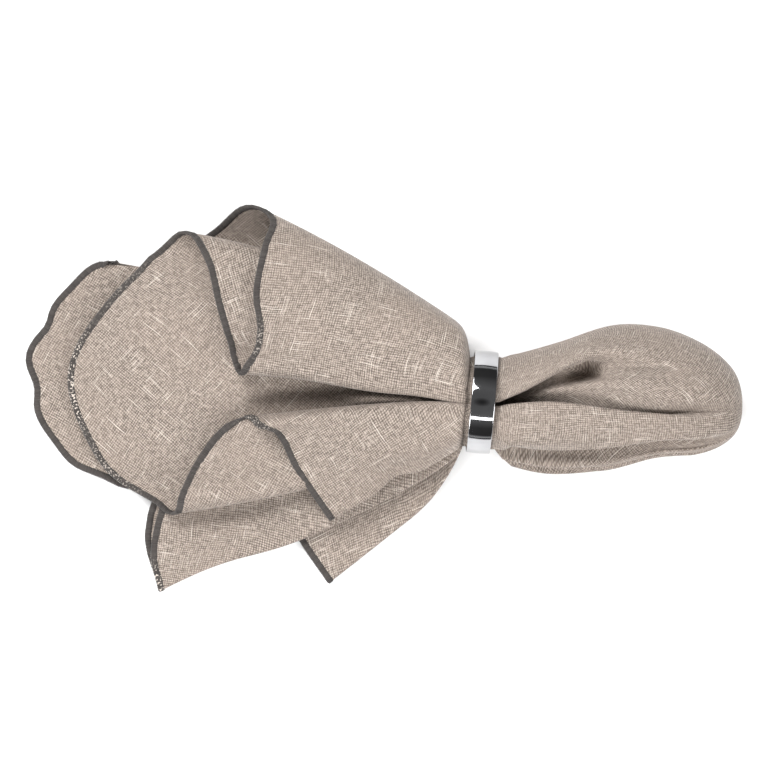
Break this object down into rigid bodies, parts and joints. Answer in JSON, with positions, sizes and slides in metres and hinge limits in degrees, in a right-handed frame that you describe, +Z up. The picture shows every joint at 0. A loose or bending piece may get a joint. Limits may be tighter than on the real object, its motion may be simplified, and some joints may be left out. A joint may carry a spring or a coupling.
{
  "type": "linen napkin in a ring",
  "caption": "Square linen napkin drawn by its middle through a polished metal band ring, with a closed puff at one end and a fan of hemmed folds at the other.",
  "frame": {"origin": "on the table under the middle of the part's box", "axes": "+X from the fan of hems towards the puff, near the ring's axis; +Y to the far side; +Z up from the table"},
  "size_m": [0.313, 0.172, 0.0469],
  "materials": {
    "linen": "matt plain-weave linen, taupe",
    "hem_thread": "matt overlock stitching, charcoal",
    "ring_metal": "mirror polished plate"
  },
  "bodies": {
    "root": {"napkin": "linen", "ring": "ring_metal"}
  },
  "joints": []
}
